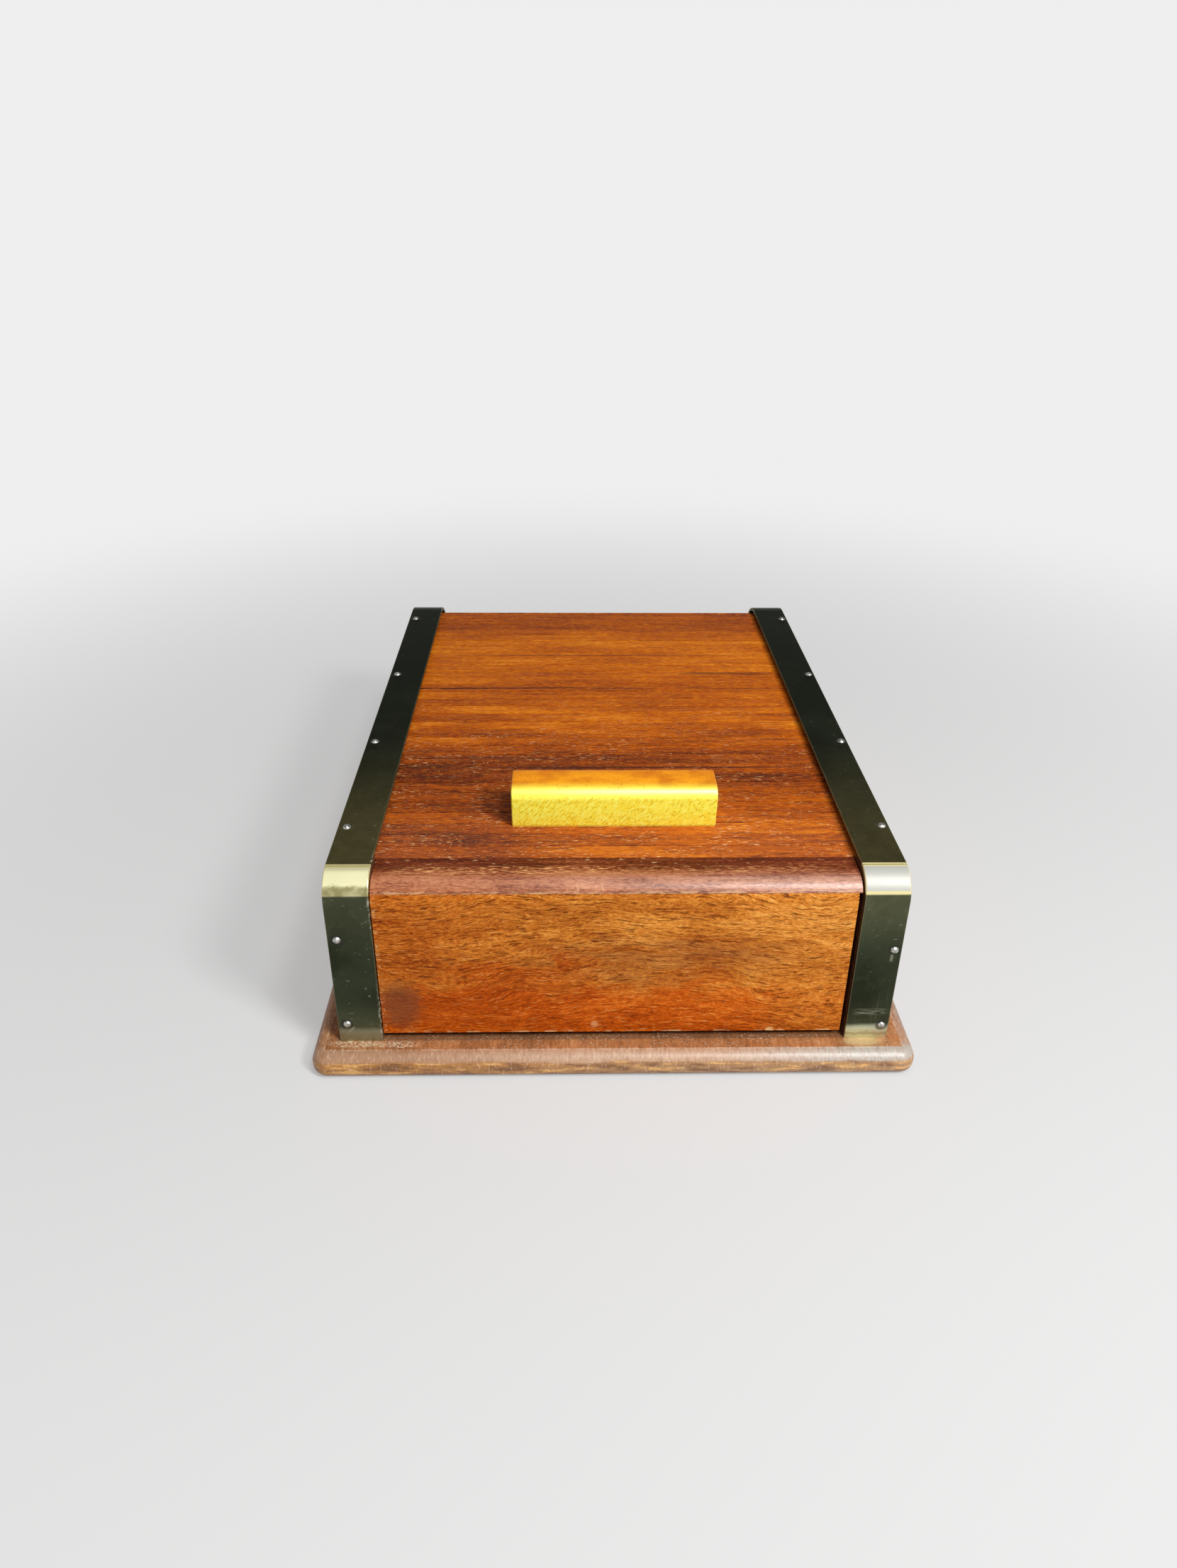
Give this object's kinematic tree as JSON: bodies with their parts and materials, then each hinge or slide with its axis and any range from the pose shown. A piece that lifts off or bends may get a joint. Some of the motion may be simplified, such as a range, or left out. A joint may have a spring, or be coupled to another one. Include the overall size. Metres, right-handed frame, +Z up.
{
  "type": "roll-top drawer box",
  "caption": "Small brass-bound wooden box with a slatted roll-top curtain: pushing the top's handle back draws a drawer out of the front.",
  "frame": {"origin": "middle of the plinth's underside, on the surface that the box stands on", "axes": "+X to the right seen from the drawer's front, +Y from the drawer's front to the back, +Z up"},
  "size_m": [0.1778, 0.2444, 0.075],
  "materials": {
    "case_mahogany": "French-polished mahogany, open pores, worn",
    "plinth_mahogany": "French-polished mahogany, bullnose worn pale",
    "slat_teak": "oiled orange-brown slats with dark streaks",
    "front_mahogany": "polished orange-brown board with interlocked figure",
    "nosing_rosewood": "dark red-brown polished moulding",
    "handle_satinwood": "golden satinwood, waxed",
    "drawer_pine": "plain planed softwood",
    "strip_brass": "aged brass with dull brown tarnish and scratches",
    "pin_metal": "pale worn domed pin heads",
    "screw_steel": "dull slotted screws",
    "curtain_canvas": "plain unbleached canvas"
  },
  "bodies": {
    "case": {"plinth": "plinth_mahogany", "plinth_screws": "screw_steel", "left_side_panel": "case_mahogany", "right_side_panel": "case_mahogany", "left_lining": "case_mahogany", "right_lining": "case_mahogany", "back_board": "case_mahogany", "left_brass_strip": "strip_brass", "right_brass_strip": "strip_brass", "left_strip_pins": "pin_metal", "right_strip_pins": "pin_metal", "left_runner": "drawer_pine", "right_runner": "drawer_pine", "runner_screws": "screw_steel", "stop_block": "drawer_pine", "rear_slats": "slat_teak", "back_slats": "slat_teak", "under_slats": "slat_teak", "rear_cloth": "curtain_canvas", "back_cloth": "curtain_canvas"},
    "curtain": {"slat_01": "slat_teak", "slat_02": "slat_teak", "slat_03": "slat_teak", "slat_04": "slat_teak", "slat_05": "slat_teak", "slat_06": "slat_teak", "slat_07": "slat_teak", "slat_08": "slat_teak", "slat_09": "slat_teak", "slat_10": "slat_teak", "slat_11": "slat_teak", "slat_12": "slat_teak", "slat_13": "slat_teak", "slat_14": "slat_teak", "curtain_cloth": "curtain_canvas", "handle": "handle_satinwood", "handle_screws": "screw_steel"},
    "drawer": {"drawer_front": "front_mahogany", "drawer_nosing": "nosing_rosewood", "drawer_left_side": "drawer_pine", "drawer_right_side": "drawer_pine", "drawer_back": "drawer_pine", "drawer_bottom": "drawer_pine", "pull_bar": "slat_teak", "pull_bar_screws": "screw_steel"}
  },
  "joints": [
    {"name": "curtain_slide", "type": "slide", "parent": "case", "child": "curtain", "axis": [0, 1, 0], "range_m": [0, 0.1016], "deforming": ["rear_slats", "rear_cloth"]},
    {"name": "drawer_slide", "type": "slide", "parent": "case", "child": "drawer", "axis": [0, -1, 0], "range_m": [0, 0.1016]}
  ],
  "couplings": [
    {"joint": "drawer_slide", "follows": "curtain_slide", "ratio": 1}
  ]
}
